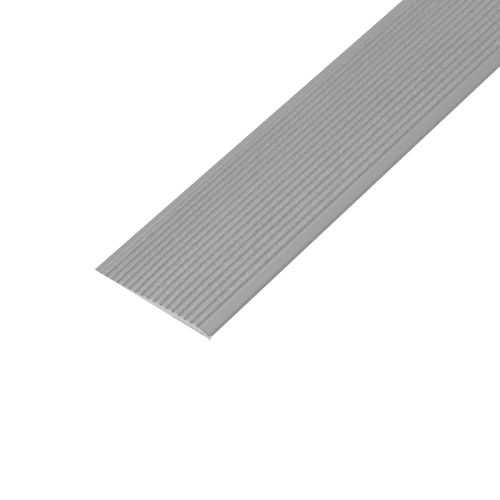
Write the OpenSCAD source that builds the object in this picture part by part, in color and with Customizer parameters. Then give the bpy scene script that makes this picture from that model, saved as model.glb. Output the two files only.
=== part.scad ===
// Ribbed threshold strip with two self-adhesive tapes under it.
// X runs along the strip, Y across it, and Z = 0 is the floor it is stuck to.

/* [Strip] */
// Length from end to end
strip_length = 900; // [300:10:1800]
// Width from side edge to side edge
strip_width = 40; // [38:1:44]
// Height of the crown above the floor
crown_height = 3; // [2.9:0.1:3.4]
// Height of the outermost rib tops above the floor
shoulder_height = 2.2; // [2.1:0.1:2.5]
// Height of the blunt side edges
edge_height = 1; // [0.9:0.1:1.2]
// Width of the plain bevel along each side
bevel_width = 3.4; // [3:0.1:4.4]

/* [Ribs] */
// Number of ribs between the bevels
rib_count = 16; // [12:1:18]
// Depth of the grooves between the ribs
groove_depth = 0.35; // [0.2:0.05:0.35]
// Radius of the rounded edges of each rib
rib_radius = 0.4; // [0.4:0.05:0.5]

/* [Underside] */
// Width of each adhesive tape
tape_width = 9; // [6:0.5:12]
// Thickness of each adhesive tape
tape_thickness = 0.5; // [0.4:0.05:0.6]
// Thickness of the release liner under each tape
liner_thickness = 0.1; // [0.1:0.05:0.15]
// Width of the foot along each side edge
foot_width = 1.8; // [1.5:0.1:2]

/* [Hidden] */

$fn = 720;
half_width = strip_width / 2;

// The rib tops follow one shallow arc from bevel to bevel.
crown_half_width = half_width - bevel_width;
crown_rise = crown_height - shoulder_height;
crown_radius = (pow(crown_half_width, 2) + pow(crown_rise, 2)) / (2 * crown_rise);
crown_centre = crown_height - crown_radius;
crown_half_angle = asin(crown_half_width / crown_radius);
rib_step = 2 * crown_half_angle / rib_count;
rib_pitch = crown_radius * rib_step * PI / 180;
valley_height = shoulder_height - groove_depth;

// Each bevel is a straight slope that touches the round of a swelling and the round of the edge.
edge_radius = 0.3;
edge_centre = [half_width - edge_radius, edge_height - edge_radius];
swell_radius = 1.2;
swell_rise = 0.16;
swell_reach = sqrt(pow(swell_radius, 2) - pow(swell_radius - swell_rise, 2));
swell_centre = [crown_half_width + swell_reach, valley_height + swell_rise - swell_radius];
bevel_run = edge_centre - swell_centre;
bevel_slope = asin((swell_radius - edge_radius) / norm(bevel_run)) - atan(bevel_run[1] / bevel_run[0]);

// Where the straight slope touches a round.
function on_bevel(centre, radius) = centre + radius * [sin(bevel_slope), cos(bevel_slope)];

// Each tape lies in a shallow channel between an outer foot and the land along the middle.
tape_gap = 0.6;
tape_inset = 1.1;
channel_width = tape_width + 2 * tape_gap;
channel_depth = tape_thickness + liner_thickness;
channel_centre = half_width - foot_width - channel_width / 2;

module profile() {
    color("silver") lengthwise(strip_length) difference() {
        union() {
            bevelled_base();
            crown_core();
            ribs();
        }
        for (side = [-1, 1]) channel(side);
    }
}

module tape_front() {
    color("dimgray") layer(-1, liner_thickness, tape_thickness);
}

module tape_rear() {
    color("dimgray") layer(1, liner_thickness, tape_thickness);
}

module liner_front() {
    color("lightblue") layer(-1, 0, liner_thickness);
}

module liner_rear() {
    color("lightblue") layer(1, 0, liner_thickness);
}

// Turns a cross-section drawn as (across, up) into a bar centred along X.
module lengthwise(length) {
    rotate([90, 0, 90]) linear_extrude(height = length, center = true) children();
}

// One tape or liner in the channel on the given side of the strip.
module layer(side, bottom, thickness) {
    lengthwise(strip_length - 2 * tape_inset)
        translate([side * channel_centre - tape_width / 2, bottom])
            square([tape_width, thickness]);
}

// Everything below the floor of the outermost grooves, and the bevel along each side.
module bevelled_base() {
    half_block = crown_half_width + swell_reach;
    translate([-half_block, 0]) square([2 * half_block, valley_height]);
    for (turn = [0, 1])
        mirror([turn, 0]) bevel();
}

// The bevel swells up beside the outermost groove, then runs straight down to the blunt edge.
module bevel() {
    polygon([
        [crown_half_width, 0],
        [half_width, 0],
        [half_width, edge_centre[1]],
        on_bevel(edge_centre, edge_radius),
        on_bevel(swell_centre, swell_radius),
        [crown_half_width, valley_height]
    ]);
    translate(edge_centre) circle(r = edge_radius);
    intersection() {
        translate(swell_centre) circle(r = swell_radius);
        translate([crown_half_width, edge_height]) square([bevel_width, crown_height]);
    }
}

// The arc that the groove floors follow, above the base.
module crown_core() {
    intersection() {
        translate([0, crown_centre]) circle(r = crown_radius - groove_depth);
        translate([-crown_half_width, shoulder_height - 2 * groove_depth])
            square([2 * crown_half_width, crown_height]);
    }
}

module ribs() {
    for (i = [0 : rib_count - 1])
        translate([0, crown_centre])
            rotate(crown_half_angle - (i + 0.5) * rib_step)
                translate([0, crown_radius]) rib();
}

// One rib with its top at the origin: a flat top between two rounded edges.
module rib() {
    half_flat = rib_pitch / 2 - rib_radius;
    translate([-half_flat, -2 * rib_radius]) square([2 * half_flat, 2 * rib_radius]);
    for (side = [-1, 1])
        translate([side * half_flat, -rib_radius]) circle(r = rib_radius);
}

module channel(side) {
    translate([side * channel_centre - channel_width / 2, -1])
        square([channel_width, channel_depth + 1]);
}

profile();
tape_front();
tape_rear();
liner_front();
liner_rear();
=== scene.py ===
"""Visual model of the ribbed threshold strip: metal profile, foam tapes and their release liners.

Everything is in metres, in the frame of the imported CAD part: X runs along the strip, Y across it and
Z = 0 is the floor. The camera looks at the end at -X. The pieces take their outer sizes from the CAD
solids, and this script adds the fine shapes: rounded ribs, rounded edges and the marks of the saw.
"""

import math

import bpy
import numpy as np
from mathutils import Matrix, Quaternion, Vector


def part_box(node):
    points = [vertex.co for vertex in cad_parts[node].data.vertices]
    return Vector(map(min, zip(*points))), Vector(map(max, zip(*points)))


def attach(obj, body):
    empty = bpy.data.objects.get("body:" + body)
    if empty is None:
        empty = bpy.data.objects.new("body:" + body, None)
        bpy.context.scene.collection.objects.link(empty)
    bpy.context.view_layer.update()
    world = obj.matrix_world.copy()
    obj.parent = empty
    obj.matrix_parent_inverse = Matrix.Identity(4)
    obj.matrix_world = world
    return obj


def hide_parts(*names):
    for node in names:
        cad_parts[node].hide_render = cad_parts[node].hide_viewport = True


MM = 0.001

# Cross-section of the profile. Its length, width and height come from the frame.
EDGE_HEIGHT = 1.0 * MM
EDGE_RADIUS = 0.3 * MM
SHOULDER_HEIGHT = 2.2 * MM
BEVEL_WIDTH = 3.4 * MM
RIB_COUNT = 16
RIB_RADIUS = 0.5 * MM
RIB_CROWN = 0.09 * MM
GROOVE_DEPTH = 0.35 * MM
CHANNEL_GAP = 0.6 * MM
# Each bevel swells up beside the outermost groove.
SWELL_RADIUS = 1.2 * MM
SWELL_RISE = 0.16 * MM
# The lower corners along the two sides are barely rounded.
CORNER_RADIUS = 0.06 * MM

# The saw has pressed the crown down near each end.
PRESS_DEPTH = 0.8 * MM
PRESS_REACH = 9 * MM
# The cut stands back from the full length at floor level, and leans out above it by these slopes.
CUT_BACK = 1.05 * MM
CUT_BACK_REACH = 12 * MM
LEAN_REAR = 0.46
LEAN_FRONT = -0.1
# Where the lean starts to change from the rear side, and over what share of the width it does so.
LEAN_FULL_AT = 0.05
LEAN_FADE = 0.7
# The ends of the grooves are torn a little.
NICK_DEPTH = 0.25 * MM
NICK_REACH = 0.25 * MM
# A burr stands out at the lower front corner of the near end, and a low ridge follows the top edge
# of the cut over the front bevel.
BURR = Vector((-0.43, -0.86, 0.0)) * MM
BURR_REACH = 0.8 * MM
RIDGE_HEIGHT = 0.2 * MM
RIDGE_REACH = 0.15 * MM

# Tapes and liners: how round their edges are and how far their sides wander from a straight line.
TAPE_EDGE_RADIUS = 0.08 * MM
TAPE_WANDER = 0.06 * MM
LINER_EDGE_RADIUS = 0.02 * MM
LINER_WANDER = 0.05 * MM
# Waves that make up the wander: share of it, radians per metre, and phase at the middle.
WANDER_WAVES = ((0.6, 61, 0.0), (0.4, 173, 1.3))

# How finely the meshes are divided.
RIB_STEPS = 14
EDGE_STEPS = 5
BEVEL_STEPS = 12
CHANNEL_WALL = 0.005 * MM
FIRST_STEP = 0.08 * MM
STEP_GROWTH = 1.22
END_STEPS = 26
MIDDLE_STEPS = 30
CUT_LEVELS = 6
BAR_STATIONS = 181
BAR_CORNER_STEPS = 4
# Edges that turn by more degrees than this look sharp.
METAL_SHARP_ANGLE = 32
BAR_SHARP_ANGLE = 50

# Tone of the smooth bevels against the grainy ribs, and of the painted shade that darkens the grooves and
# the side edges and dims the highlight on the edge rounding.
PLAIN_TONE = 0.85
PAINTED_SHADE_TONE = 0.925
EDGE_PAINTED_SHADE = 0.35
# Noise patterns hardly ever leave this range.
NOISE_LOW = 0.3
NOISE_HIGH = 0.7

# The camera looks at a point a little inside the near end, turned on its own axis.
CAMERA_AIM = Vector((24.36, -8.55, 0.0)) * MM
CAMERA_DISTANCE = 331.6 * MM
CAMERA_AZIMUTH = 30.22
CAMERA_ELEVATION = 42.53
CAMERA_ROLL = -21.07
CAMERA_LENS = 104.4
CAMERA_NEAREST = 0.01
CAMERA_FURTHEST = 50

# The floor lies a hair below the strip, so that they never share a face.
FLOOR_SIZE = 12.0
FLOOR_DROP = 0.02 * MM
# The floor is shaded only under the strip, where something hides most of the sky this close to it.
SHADE_DISTANCE = 2 * MM
SHADE_FULL_AT = 0.05
SHADE_GONE_AT = 0.25
SHADE_BLUR = 0.04 * MM

# The room is brightest in one direction and dimmer the further a direction turns away from it.
BRIGHTEST_WAY = Vector((0.0, 0.31, 0.95))
# Brightness against the cosine of the angle to the brightest way.
ROOM = ((-0.2, 0.5), (0.3, 0.57), (0.6, 0.58), (0.75, 0.6), (0.85, 0.71), (0.94, 0.82), (1.0, 0.84))
# The room turns warmer from its back, at +Y, to overhead.
WARM_TINT = (1.0, 1.0, 0.983, 1.0)
COOL_AT = 0.9
WARM_AT = -0.1
# The pale ground is dimmer at the camera's side, at -Y.
GROUND_FAR = 0.66
GROUND_NEAR = 0.55
GROUND_BLUR = 0.4
HORIZON_BLUR = 0.08


def smoothstep(t):
    t = min(max(t, 0.0), 1.0)
    return t * t * (3 - 2 * t)


class Section:
    """The profile's cross-section, as heights of its top and bottom at a distance y across it."""

    def __init__(self, profile_box, tape_boxes):
        high = profile_box[1]
        self.half = high.y
        self.height = high.z
        self.crown_half = self.half - BEVEL_WIDTH
        rise = self.height - SHOULDER_HEIGHT
        self.radius = (self.crown_half ** 2 + rise ** 2) / (2 * rise)
        self.pitch = 2 * self.crown_half / RIB_COUNT
        # The straight slope of a bevel touches two rounds, one at its swelling and one at its edge.
        reach = math.sqrt(SWELL_RADIUS ** 2 - (SWELL_RADIUS - SWELL_RISE) ** 2)
        valley = SHOULDER_HEIGHT - GROOVE_DEPTH
        self.swell = Vector((self.crown_half + reach, valley + SWELL_RISE - SWELL_RADIUS))
        self.edge = Vector((self.half - EDGE_RADIUS, EDGE_HEIGHT - EDGE_RADIUS))
        run = self.edge - self.swell
        self.slope = math.asin((SWELL_RADIUS - EDGE_RADIUS) / run.length) - math.atan(run.y / run.x)
        self.channels = [(a.y - CHANNEL_GAP, b.y + CHANNEL_GAP) for a, b in tape_boxes]
        self.ceiling = tape_boxes[0][1].z
        self.columns = self.divided()

    def relief(self, y):
        """How far the surface lies under the rib tops: nothing on a rib, most in a groove."""
        phase = (y + self.crown_half) / self.pitch
        off = abs(phase - math.floor(phase) - 0.5) * self.pitch
        over = max(0.0, off - (self.pitch / 2 - RIB_RADIUS))
        drop = RIB_RADIUS - math.sqrt(RIB_RADIUS ** 2 - over ** 2)
        return min(drop + RIB_CROWN * (2 * off / self.pitch) ** 2, GROOVE_DEPTH)

    def painted_shade_share(self, y):
        """How much painted shade darkens the top skin: 0 on a rib, 1 in a groove and at the foot of each
        swell, and a little at the side edges, where it also dims the highlight.
        """
        y = abs(y)
        if y < self.crown_half:
            return (self.relief(y) / GROOVE_DEPTH) ** 2
        foot = 1 - (y - self.crown_half) / (self.swell.x - self.crown_half)
        edge = (y - self.crown_half) / BEVEL_WIDTH
        return max(0.0, foot) ** 2 + EDGE_PAINTED_SHADE * edge ** 4

    def plainness(self, y):
        """1 on the bevels, which are smoother than the ribs."""
        return 1.0 if abs(y) > self.crown_half else 0.0

    def top(self, y):
        y = abs(y)
        if y < self.crown_half:
            arc = self.height - self.radius + math.sqrt(self.radius ** 2 - y ** 2)
            return arc - self.relief(y)
        start = self.swell.x + SWELL_RADIUS * math.sin(self.slope)
        if y > self.edge.x + EDGE_RADIUS * math.sin(self.slope):
            return self.edge.y + math.sqrt(max(0.0, EDGE_RADIUS ** 2 - (y - self.edge.x) ** 2))
        if y > start:
            return self.swell.y + SWELL_RADIUS * math.cos(self.slope) - (y - start) * math.tan(self.slope)
        return self.swell.y + math.sqrt(SWELL_RADIUS ** 2 - (y - self.swell.x) ** 2)

    def bottom(self, y):
        for low, high in self.channels:
            if low < y < high:
                return self.ceiling
        inset = max(0.0, abs(y) - (self.half - CORNER_RADIUS))
        return CORNER_RADIUS - math.sqrt(max(0.0, CORNER_RADIUS ** 2 - inset ** 2))

    def divided(self):
        """Places across the strip, closer together wherever the outline turns."""
        places = set()
        for i in range(EDGE_STEPS + 1):
            turn = math.radians(90 * i / EDGE_STEPS)
            for radius in (EDGE_RADIUS, CORNER_RADIUS):
                places.add(self.half - radius * (1 - math.cos(turn)))
        for i in range(1, BEVEL_STEPS + 1):
            places.add(self.crown_half + (BEVEL_WIDTH - EDGE_RADIUS) * i / BEVEL_STEPS)
        places |= {-y for y in places}
        for rib in range(RIB_COUNT):
            centre = -self.crown_half + (rib + 0.5) * self.pitch
            for i in range(RIB_STEPS + 1):
                share = math.sin(math.pi * (i / RIB_STEPS - 0.5))
                places.add(centre + share * self.pitch / 2)
        for channel in self.channels:
            for edge in channel:
                places |= {edge - CHANNEL_WALL, edge + CHANNEL_WALL}
        merged = []
        for y in sorted(places):
            if not merged or y - merged[-1] > CHANNEL_WALL:
                merged.append(y)
        return merged


def stations(low_x, high_x):
    """Places along the profile, close together at its two ends and wider further in."""
    steps = [FIRST_STEP * (STEP_GROWTH ** k - 1) / (STEP_GROWTH - 1) for k in range(END_STEPS)]
    near = [low_x + step for step in steps]
    far = [high_x - step for step in reversed(steps)]
    middle = np.linspace(near[-1], far[0], MIDDLE_STEPS + 2)[1:-1]
    return near + list(middle) + far


def pressed(section, y, from_end):
    """How far the crown is pressed down at a distance from a cut."""
    share = max(0.0, 1 - (y / section.crown_half) ** 2)
    return PRESS_DEPTH * math.exp(-from_end / PRESS_REACH) * share


def ridge(section, y, from_end):
    """Height of the ridge that the saw has left on the front bevel."""
    share = min(max((-y - section.crown_half) / BEVEL_WIDTH, 0.0), 1.0)
    return RIDGE_HEIGHT * math.sqrt(math.sin(math.pi * share)) * math.exp(-(from_end / RIDGE_REACH) ** 2)


def nick(section, y, from_end):
    """How much deeper the saw has torn the end of a groove."""
    if abs(y) > section.crown_half:
        return 0.0
    return NICK_DEPTH * section.relief(y) / GROOVE_DEPTH * math.exp(-(from_end / NICK_REACH) ** 2)


def top_height(section, y, from_end):
    level = section.top(y) - pressed(section, y, from_end)
    return level + ridge(section, y, from_end) - nick(section, y, from_end)


def bottom_height(section, y, from_end):
    return section.bottom(y)


def cut_back(section, y, height, from_end):
    """How far a point is drawn in from the end: less at the top of a cut that leans out."""
    across = 0.5 - y / (2 * section.half)
    lean = LEAN_REAR + (LEAN_FRONT - LEAN_REAR) * smoothstep((across - LEAN_FULL_AT) / LEAN_FADE)
    return (CUT_BACK - lean * height) * max(0.0, 1 - from_end / CUT_BACK_REACH)


def skin_row(section, x, box, height):
    """One row of points across the strip. The two ends of the strip are the same after a half turn."""
    low, high = box
    side = 1 if x < 0 else -1
    from_end = min(x - low.x, high.x - x)
    row = []
    for y in section.columns:
        z = height(section, side * y, from_end)
        row.append(Vector((x + side * cut_back(section, side * y, z, from_end), y, z)))
    return row


class Shell:
    """The points and faces of the profile: top, underside, side edges and two cut faces."""

    def __init__(self, section, box):
        xs = stations(box[0].x, box[1].x)
        self.last_row = len(xs) - 1
        self.width = len(section.columns)
        self.vertices = []
        for height in (top_height, bottom_height):
            for x in xs:
                self.vertices += skin_row(section, x, box, height)
        self.cuts = {i: self.cut_rows(i) for i in (0, self.last_row)}
        self.corner = self.vertices[self.under(0, 0)].copy()
        for vertex in self.vertices:
            vertex += BURR * max(0.0, 1 - (vertex - self.corner).length / BURR_REACH) ** 2

    def top(self, i, j):
        return i * self.width + j

    def under(self, i, j):
        return (self.last_row + 1 + i) * self.width + j

    def cut_rows(self, i):
        """Adds rows of points between the bottom and the top edge of a cut, and returns all its rows."""
        lower = [self.under(i, j) for j in range(self.width)]
        upper = [self.top(i, j) for j in range(self.width)]
        rows = [lower]
        for level in range(1, CUT_LEVELS):
            row = []
            for a, b in zip(lower, upper):
                row.append(len(self.vertices))
                self.vertices.append(self.vertices[a].lerp(self.vertices[b], level / CUT_LEVELS))
            rows.append(row)
        rows.append(upper)
        return rows

    def between(self, i, j):
        """The points between the bottom and the top edge at row i. Only the rows at a cut have any."""
        return [row[j] for row in self.cuts.get(i, [])[1:-1]]

    def skin_faces(self):
        top, under, between = self.top, self.under, self.between
        faces = []
        for i in range(self.last_row):
            for j in range(self.width - 1):
                faces.append((top(i, j), top(i + 1, j), top(i + 1, j + 1), top(i, j + 1)))
                faces.append((under(i, j), under(i, j + 1), under(i + 1, j + 1), under(i + 1, j)))
            for j, order in ((0, 1), (self.width - 1, -1)):
                wall = [under(i, j), under(i + 1, j), *between(i + 1, j)]
                wall += [top(i + 1, j), top(i, j), *reversed(between(i, j))]
                faces.append(wall[::order])
        return faces

    def cut_faces(self):
        faces = []
        for i, order in ((0, 1), (self.last_row, -1)):
            rows = self.cuts[i]
            for lower, upper in zip(rows, rows[1:]):
                for j in range(self.width - 1):
                    face = (lower[j], upper[j], upper[j + 1], lower[j + 1])
                    faces.append(face[::order])
        return faces


def mesh_object(name, vertices, faces, sharp_angle):
    mesh = bpy.data.meshes.new(name)
    mesh.from_pydata([tuple(v) for v in vertices], [], faces)
    mesh.validate()
    mesh.update()
    mesh.polygons.foreach_set("use_smooth", [True] * len(mesh.polygons))
    mesh.set_sharp_from_angle(angle=math.radians(sharp_angle))
    made = bpy.data.objects.new(name, mesh)
    bpy.context.scene.collection.objects.link(made)
    return made


def build_profile(profile_box, tape_boxes):
    """The extrusion as one closed mesh, with bare metal on its cut faces and on the burr."""
    section = Section(profile_box, tape_boxes)
    shell = Shell(section, profile_box)
    skin = shell.skin_faces()
    made = mesh_object("metal_profile", shell.vertices, skin + shell.cut_faces(), METAL_SHARP_ANGLE)
    made.data.materials.append(anodised_aluminium())
    made.data.materials.append(cut_aluminium())
    for polygon in made.data.polygons:
        on_cut = polygon.index >= len(skin)
        on_burr = (polygon.center - shell.corner).length < BURR_REACH
        polygon.material_index = int(on_cut or on_burr)
    # The skin's material reads these two shares at each point. They are 1 everywhere but on the top, so
    # the painted shade also darkens the side edges towards the floor.
    for name, share in (("painted_shade", section.painted_shade_share), ("plain", section.plainness)):
        values = [share(y) for y in section.columns] * (shell.last_row + 1)
        values += [1.0] * (len(shell.vertices) - len(values))
        made.data.attributes.new(name, "FLOAT", "POINT").data.foreach_set("value", values)
    return made


def rounded_outline(half_width, half_height, radius):
    """Points around a rectangle with rounded corners, as (across, up)."""
    outline = []
    for side_y, side_z, start in ((1, -1, -90), (1, 1, 0), (-1, 1, 90), (-1, -1, 180)):
        for i in range(BAR_CORNER_STEPS + 1):
            turn = math.radians(start + 90 * i / BAR_CORNER_STEPS)
            outline.append((
                side_y * (half_width - radius) + radius * math.cos(turn),
                side_z * (half_height - radius) + radius * math.sin(turn),
            ))
    return outline


def build_bar(name, box, edge_radius, wander):
    """A long soft bar or sheet with rounded edges, whose sides wander slightly along its length."""
    low, high = box
    centre = (low + high) / 2
    outline = rounded_outline((high.y - low.y) / 2, (high.z - low.z) / 2, edge_radius)
    count = len(outline)
    vertices, faces = [], []
    for x in np.linspace(low.x, high.x, BAR_STATIONS):
        drift = wander * sum(share * math.sin(x * rate + phase) for share, rate, phase in WANDER_WAVES)
        vertices += [Vector((x, centre.y + y + drift, centre.z + z)) for y, z in outline]
    for i in range(BAR_STATIONS - 1):
        for j in range(count):
            k = (j + 1) % count
            faces.append((i * count + j, i * count + k, (i + 1) * count + k, (i + 1) * count + j))
    last = (BAR_STATIONS - 1) * count
    faces.append(tuple(reversed(range(count))))
    faces.append(tuple(range(last, last + count)))
    return mesh_object(name, vertices, faces, BAR_SHARP_ANGLE)


def grey(level):
    return (level, level, level, 1.0)


class Nodes:
    """A node tree that is filled one call at a time."""

    def __init__(self, tree):
        self.tree = tree
        self.tree.nodes.clear()

    def connect(self, socket, value):
        """Links the socket to another one, or gives it a plain value."""
        if isinstance(value, bpy.types.NodeSocket):
            self.tree.links.new(value, socket)
        else:
            socket.default_value = value

    def add(self, kind, inputs=None, **settings):
        made = self.tree.nodes.new(kind)
        for key, value in settings.items():
            setattr(made, key, value)
        for key, value in (inputs or {}).items():
            self.connect(made.inputs[key], value)
        return made

    def between(self, factor, low, high, start=0.0, end=1.0):
        """Takes factor from start..end to low..high."""
        made = self.add("ShaderNodeMapRange", {
            "Value": factor, "From Min": start, "From Max": end, "To Min": low, "To Max": high,
        })
        return made.outputs["Result"]

    def colours(self, factor, *stops):
        """Colours factor by stops, each a position and a colour."""
        ramp = self.add("ShaderNodeValToRGB", {"Fac": factor})
        elements = ramp.color_ramp.elements
        while len(elements) < len(stops):
            elements.new(1.0)
        for element, (position, colour) in zip(elements, stops):
            element.position = position
            element.color = colour
        return ramp.outputs["Color"]

    def mixed(self, factor, a, b, blend="MIX"):
        made = self.add("ShaderNodeMix", data_type="RGBA", blend_type=blend)
        # A mix node has sockets for each type of data. These are the ones for colours.
        for number, value in ((0, factor), (6, a), (7, b)):
            self.connect(made.inputs[number], value)
        return made.outputs[2]

    def times(self, a, b):
        return self.mixed(1.0, a, b, "MULTIPLY")


class Shader(Nodes):
    """A material and the nodes that only materials need."""

    def __init__(self, name):
        self.material = bpy.data.materials.new(name)
        self.material.use_nodes = True
        super().__init__(self.material.node_tree)
        self.place = self.add("ShaderNodeTexCoord").outputs["Object"]

    def noise(self, per_metre, detail=3.0, turn=(0, 0, 0), roughness=0.5):
        """Noise whose grains are 1 / per_metre long along each axis."""
        mapping = self.add("ShaderNodeMapping", {
            "Vector": self.place, "Rotation": turn, "Scale": per_metre,
        })
        made = self.add("ShaderNodeTexNoise", {
            "Vector": mapping.outputs["Vector"], "Scale": 1.0, "Detail": detail, "Roughness": roughness,
        })
        return made.outputs["Fac"]

    def shades(self, noise, dark, light):
        return self.colours(noise, (NOISE_LOW, dark), (NOISE_HIGH, light))

    def levels(self, noise, low, high):
        return self.between(noise, low, high, NOISE_LOW, NOISE_HIGH)

    def bump(self, height, strength, distance, under=None):
        inputs = {"Height": height, "Strength": strength, "Distance": distance}
        if under is not None:
            inputs["Normal"] = under
        return self.add("ShaderNodeBump", inputs).outputs["Normal"]

    def finish(self, **principled):
        inputs = {key.replace("_", " ").title(): value for key, value in principled.items()}
        surface = self.add("ShaderNodeBsdfPrincipled", inputs)
        self.add("ShaderNodeOutputMaterial", {"Surface": surface.outputs["BSDF"]})
        return self.material


def anodised_aluminium():
    """Satin silver skin with die lines along the strip, fine specks, and painted shade in the grooves and
    at the edges.
    """
    shader = Shader("anodised_aluminium")
    lines = shader.noise((5, 3200, 3200), detail=2.0)
    clouds = shader.noise((22, 90, 90), detail=2.0)
    specks = shader.noise((1700, 1700, 1700), detail=2.0)
    grain = shader.noise((1500, 2600, 2600), detail=4.0, roughness=0.6)
    smooth = shader.shades(lines, grey(0.612), grey(0.658))
    grainy = smooth
    for pattern, darkest in ((clouds, 0.95), (specks, 0.76)):
        grainy = shader.times(grainy, shader.shades(pattern, grey(darkest), grey(1.0)))
    plain = shader.add("ShaderNodeAttribute", attribute_name="plain").outputs["Fac"]
    base = shader.mixed(plain, grainy, shader.times(smooth, grey(PLAIN_TONE)))
    # Painted shade: the grooves and the side edges are darkened, most in a groove and towards the floor.
    painted_shade = shader.add("ShaderNodeAttribute", attribute_name="painted_shade").outputs["Fac"]
    base = shader.mixed(painted_shade, base, shader.times(base, grey(PAINTED_SHADE_TONE)))
    rough = shader.levels(grain, 0.27, 0.35)
    normal = shader.bump(lines, 0.12, 0.02 * MM)
    normal = shader.bump(grain, 0.18, 0.02 * MM, normal)
    return shader.finish(base_color=base, metallic=1.0, roughness=rough, normal=normal)


def cut_aluminium():
    """Bare bright metal with the fine upright marks that the saw leaves."""
    shader = Shader("cut_aluminium")
    marks = shader.noise((400, 5200, 700), detail=3.0, turn=(math.radians(12), 0, 0))
    pits = shader.noise((3000, 3000, 3000), detail=2.0)
    base = shader.shades(marks, (0.88, 0.88, 0.875, 1.0), (1.0, 1.0, 0.995, 1.0))
    rough = shader.levels(pits, 0.35, 0.55)
    normal = shader.bump(marks, 0.35, 0.04 * MM)
    return shader.finish(base_color=base, metallic=0.6, roughness=rough, normal=normal)


def adhesive_foam():
    """Closed-cell foam with small pores on every face."""
    shader = Shader("adhesive_foam")
    cells = shader.add("ShaderNodeTexVoronoi", {"Vector": shader.place, "Scale": 6500.0})
    to_pore = cells.outputs["Distance"]
    clouds = shader.noise((300, 600, 600))
    base = shader.shades(clouds, (0.84, 0.84, 0.82, 1.0), (0.94, 0.94, 0.92, 1.0))
    # Painted shade: the pores are darker towards their middles, the bottoms of the pits that the bump
    # cuts.
    base = shader.times(base, shader.colours(to_pore, (0.1, grey(0.78)), (0.5, grey(1.0))))
    normal = shader.bump(to_pore, 0.5, 0.06 * MM)
    return shader.finish(base_color=base, roughness=0.85, normal=normal)


def release_liner():
    """Smooth siliconised paper with faint fibres and a slight sheen."""
    shader = Shader("release_liner")
    fibres = shader.noise((900, 2600, 2600), detail=5.0, turn=(0, 0, math.radians(25)), roughness=0.65)
    clouds = shader.noise((60, 160, 160))
    base = shader.shades(fibres, (0.8, 0.74, 0.58, 1.0), (0.88, 0.84, 0.7, 1.0))
    base = shader.times(base, shader.shades(clouds, (0.93, 0.93, 0.92, 1.0), grey(1.0)))
    rough = shader.levels(fibres, 0.3, 0.45)
    normal = shader.bump(fibres, 0.15, 0.02 * MM)
    return shader.finish(base_color=base, roughness=rough, normal=normal)


def pale_floor(shade_half_length, shade_half_width):
    """Pale matt card. The camera sees it evenly white, except in the shade under the strip.

    The white is a glow that only the camera sees, so that it lights nothing else.
    """
    shader = Shader("pale_floor")
    base = shader.shades(shader.noise((3, 3, 3)), grey(0.86), grey(0.88))
    seen = shader.add("ShaderNodeLightPath").outputs["Is Camera Ray"]
    open_sky = shader.add("ShaderNodeAmbientOcclusion", {"Distance": SHADE_DISTANCE}).outputs["AO"]
    glow = shader.between(open_sky, 0.0, seen, SHADE_FULL_AT, SHADE_GONE_AT)
    away = shader.add("ShaderNodeVectorMath", {0: shader.place}, operation="ABSOLUTE").outputs["Vector"]
    away = shader.add("ShaderNodeSeparateXYZ", {"Vector": away}).outputs
    past_end, past_side = (
        shader.between(away[axis], 0.0, 1.0, half, half + SHADE_BLUR)
        for axis, half in (("X", shade_half_length), ("Y", shade_half_width))
    )
    outside = shader.add("ShaderNodeMath", {0: past_end, 1: past_side}, operation="MAXIMUM")
    glow = shader.between(outside.outputs["Value"], 0.0, glow)
    return shader.finish(base_color=base, roughness=0.9, emission_color=grey(1.0), emission_strength=glow)


def build_floor(profile_box):
    """A pale floor. It is left out of reflections, so that the metal beside it stays evenly grey."""
    high = profile_box[1]
    bpy.ops.mesh.primitive_plane_add(size=FLOOR_SIZE, location=(0, 0, -FLOOR_DROP))
    floor = bpy.context.object
    floor.name = "floor"
    floor.data.materials.append(pale_floor(high.x - CUT_BACK - SHADE_BLUR, high.y - EDGE_RADIUS))
    floor.visible_glossy = False


def build_lights():
    """One soft light from all around: a room that is brightest in one direction, above a pale ground.

    The camera itself sees plain white beyond the floor.
    """
    world = bpy.data.worlds.new("studio")
    bpy.context.scene.world = world
    world.use_nodes = True
    sky = Nodes(world.node_tree)
    way = sky.add("ShaderNodeTexCoord").outputs["Generated"]
    axes = sky.add("ShaderNodeSeparateXYZ", {"Vector": way}).outputs
    dot = sky.add("ShaderNodeVectorMath", {0: way, 1: BRIGHTEST_WAY.normalized()}, operation="DOT_PRODUCT")
    # A colour ramp runs from 0 to 1, and the cosine from -1 to 1.
    along_ramp = sky.between(dot.outputs["Value"], 0.0, 1.0, -1.0, 1.0)
    room = sky.colours(along_ramp, *[((cosine + 1) / 2, grey(level)) for cosine, level in ROOM])
    warmth = sky.between(axes["Y"], 1.0, 0.0, WARM_AT, COOL_AT)
    room = sky.mixed(warmth, room, sky.times(room, WARM_TINT))
    ground = sky.between(axes["Y"], GROUND_NEAR, GROUND_FAR, -GROUND_BLUR, 0.0)
    above = sky.between(axes["Z"], 0.0, 1.0, -HORIZON_BLUR, HORIZON_BLUR)
    seen = sky.add("ShaderNodeLightPath").outputs["Is Camera Ray"]
    colour = sky.mixed(seen, sky.mixed(above, ground, room), grey(1.0))
    background = sky.add("ShaderNodeBackground", {"Color": colour})
    sky.add("ShaderNodeOutputWorld", {"Surface": background.outputs["Background"]})


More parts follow.
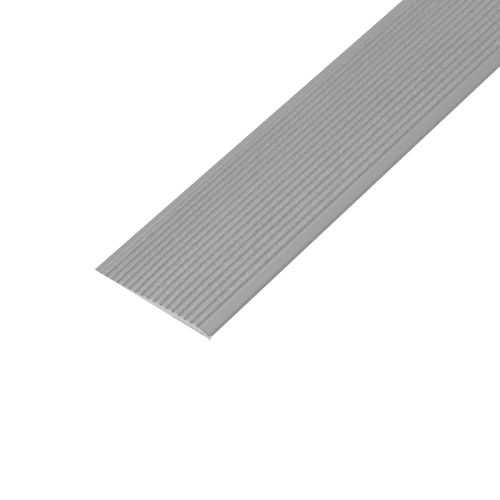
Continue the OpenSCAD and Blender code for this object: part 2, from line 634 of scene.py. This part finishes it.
def build_camera(near_end):
    lens = bpy.data.cameras.new("camera")
    lens.lens = CAMERA_LENS
    lens.clip_start = CAMERA_NEAREST
    lens.clip_end = CAMERA_FURTHEST
    camera = bpy.data.objects.new("camera", lens)
    azimuth, elevation = math.radians(CAMERA_AZIMUTH), math.radians(CAMERA_ELEVATION)
    ahead = Vector((
        math.sin(azimuth) * math.cos(elevation),
        math.cos(azimuth) * math.cos(elevation),
        -math.sin(elevation),
    ))
    camera.location = near_end + CAMERA_AIM - ahead * CAMERA_DISTANCE
    camera.rotation_mode = "QUATERNION"
    roll = Quaternion((0, 0, 1), math.radians(CAMERA_ROLL))
    camera.rotation_quaternion = ahead.to_track_quat("-Z", "Y") @ roll
    bpy.context.scene.collection.objects.link(camera)
    bpy.context.scene.camera = camera


def register(made, node, body):
    """Hides the CAD node that a piece stands for and hangs the piece on the body it rides on."""
    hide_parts(node)
    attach(made, body)


def build_strip():
    tape_boxes = [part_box(node) for node in ("tape_front", "tape_rear")]
    register(build_profile(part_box("profile"), tape_boxes), "profile", "strip")
    foam, paper = adhesive_foam(), release_liner()
    for side in ("front", "rear"):
        node = "tape_" + side
        tape = build_bar("foam_tape_" + side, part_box(node), TAPE_EDGE_RADIUS, TAPE_WANDER)
        tape.data.materials.append(foam)
        register(tape, node, "strip")
        node = "liner_" + side
        liner = build_bar("paper_liner_" + side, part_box(node), LINER_EDGE_RADIUS, LINER_WANDER)
        liner.data.materials.append(paper)
        register(liner, node, node)


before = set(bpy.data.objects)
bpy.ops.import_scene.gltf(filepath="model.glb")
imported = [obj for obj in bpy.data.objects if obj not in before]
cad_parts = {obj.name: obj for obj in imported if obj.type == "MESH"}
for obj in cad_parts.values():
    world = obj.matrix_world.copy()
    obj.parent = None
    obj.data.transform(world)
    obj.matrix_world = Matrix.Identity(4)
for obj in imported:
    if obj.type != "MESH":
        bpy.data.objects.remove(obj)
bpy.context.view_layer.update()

build_strip()
build_floor(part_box("profile"))
build_lights()
profile_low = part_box("profile")[0]
build_camera(Vector((profile_low.x + CUT_BACK, 0, profile_low.z)))
bpy.context.scene.view_settings.view_transform = "Standard"
